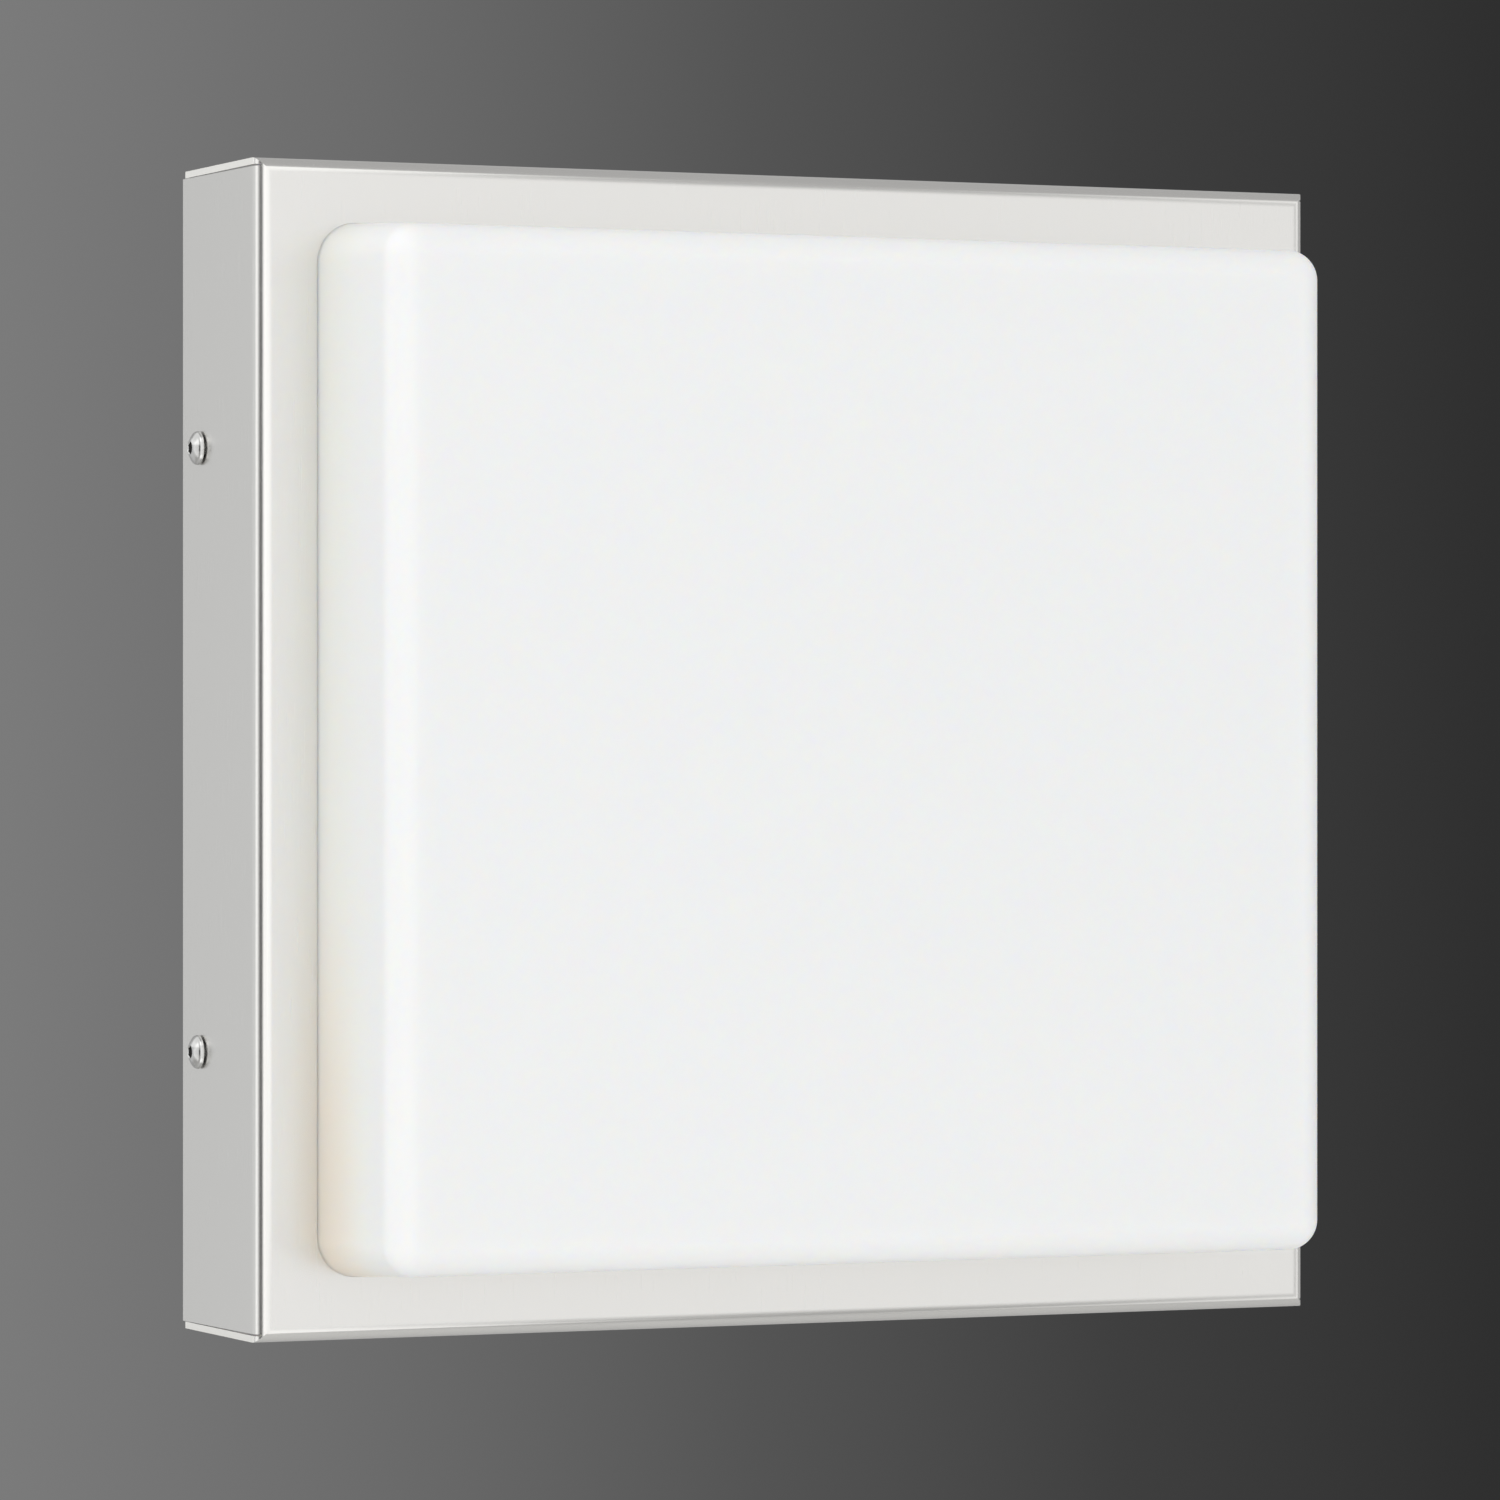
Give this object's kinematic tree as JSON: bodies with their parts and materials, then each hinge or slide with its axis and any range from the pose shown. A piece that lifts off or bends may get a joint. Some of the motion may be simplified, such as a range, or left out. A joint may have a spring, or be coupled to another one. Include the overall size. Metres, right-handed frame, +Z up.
{
  "type": "square outdoor wall light",
  "caption": "Square stainless-steel outdoor wall light with a protruding opal glass dish and a pull-off cover held by hex-socket screws in its sides.",
  "frame": {"origin": "centre of the flat back face that rests on the wall", "axes": "+Y into the wall, so the light faces -Y; +Z up; +X to the right of someone who faces the light"},
  "size_m": [0.265, 0.0892, 0.26],
  "materials": {
    "brushed_stainless": "fine satin brushing",
    "zinc_plated_steel": "bright zinc plating",
    "brass": "machined",
    "nickel_plated_brass": "nickel plating",
    "opal_glass": "opal, satin etched outside",
    "white_silicone": "matt",
    "black_rubber": "matt",
    "porcelain": "glazed",
    "white_nylon": "moulded",
    "lamp_diffuser": "frosted white",
    "lamp_housing_white": "moulded",
    "brown_insulation": "extruded",
    "blue_insulation": "extruded",
    "green_yellow_insulation": "extruded, striped"
  },
  "bodies": {
    "wall_side": {"wall_bracket": "zinc_plated_steel", "cable_grommet": "black_rubber", "terminal_block": "white_nylon", "terminal_screw": "zinc_plated_steel", "earth_lug": "zinc_plated_steel", "earth_washer": "zinc_plated_steel", "earth_screw": "brass", "wire_live_1": "brown_insulation", "wire_live_2": "brown_insulation", "wire_neutral_1": "blue_insulation", "wire_neutral_2": "blue_insulation", "wire_earth": "green_yellow_insulation", "terminal_clamp_1": "brass", "terminal_clamp_2": "brass", "terminal_clamp_3": "brass", "holder_bracket_1": "zinc_plated_steel", "holder_rivet_1a": "zinc_plated_steel", "holder_screw_1a": "zinc_plated_steel", "holder_rivet_1b": "zinc_plated_steel", "holder_screw_1b": "zinc_plated_steel", "lamp_holder_1": "porcelain", "holder_shell_1": "brass", "holder_contact_1": "brass", "holder_bracket_2": "zinc_plated_steel", "holder_rivet_2a": "zinc_plated_steel", "holder_screw_2a": "zinc_plated_steel", "holder_rivet_2b": "zinc_plated_steel", "holder_screw_2b": "zinc_plated_steel", "lamp_holder_2": "porcelain", "holder_shell_2": "brass", "holder_contact_2": "brass"},
    "cover": {"cover_frame": "brushed_stainless", "opal_glass": "opal_glass", "glass_gasket": "white_silicone", "nut_bar_left": "zinc_plated_steel", "nut_bar_right": "zinc_plated_steel", "glass_clip_1": "zinc_plated_steel", "glass_clip_2": "zinc_plated_steel", "glass_clip_3": "zinc_plated_steel", "glass_clip_4": "zinc_plated_steel", "clip_nut_1": "zinc_plated_steel", "clip_nut_2": "zinc_plated_steel", "clip_nut_3": "zinc_plated_steel", "clip_nut_4": "zinc_plated_steel"},
    "screw_left_upper": {"side_screw_left_upper": "brushed_stainless"},
    "screw_left_lower": {"side_screw_left_lower": "brushed_stainless"},
    "screw_right_upper": {"side_screw_right_upper": "brushed_stainless"},
    "screw_right_lower": {"side_screw_right_lower": "brushed_stainless"},
    "lamp_1": {"lamp_globe_1": "lamp_diffuser", "lamp_housing_1": "lamp_housing_white", "lamp_cap_1": "nickel_plated_brass", "lamp_contact_1": "nickel_plated_brass"},
    "lamp_2": {"lamp_globe_2": "lamp_diffuser", "lamp_housing_2": "lamp_housing_white", "lamp_cap_2": "nickel_plated_brass", "lamp_contact_2": "nickel_plated_brass"}
  },
  "joints": [
    {"name": "cover_pull_off", "type": "slide", "parent": "wall_side", "child": "cover", "axis": [0, -1, 0], "range_m": [0, 0.1]},
    {"name": "screw_left_upper_turn", "type": "hinge", "parent": "cover", "child": "screw_left_upper", "pos_m": [-0.1303, -0.0118, 0.0675], "axis": [-1, 0, 0], "continuous": true},
    {"name": "screw_left_lower_turn", "type": "hinge", "parent": "cover", "child": "screw_left_lower", "pos_m": [-0.1303, -0.0118, -0.0675], "axis": [-1, 0, 0], "continuous": true},
    {"name": "screw_right_upper_turn", "type": "hinge", "parent": "cover", "child": "screw_right_upper", "pos_m": [0.1303, -0.0118, 0.0675], "axis": [1, 0, 0], "continuous": true},
    {"name": "screw_right_lower_turn", "type": "hinge", "parent": "cover", "child": "screw_right_lower", "pos_m": [0.1303, -0.0118, -0.0675], "axis": [1, 0, 0], "continuous": true},
    {"name": "lamp_1_unscrew", "type": "hinge", "parent": "wall_side", "child": "lamp_1", "pos_m": [-0.0872, -0.042, 0.055], "axis": [1, 0, 0], "continuous": true},
    {"name": "lamp_2_unscrew", "type": "hinge", "parent": "wall_side", "child": "lamp_2", "pos_m": [0.0872, -0.042, -0.055], "axis": [-1, 0, 0], "continuous": true}
  ]
}
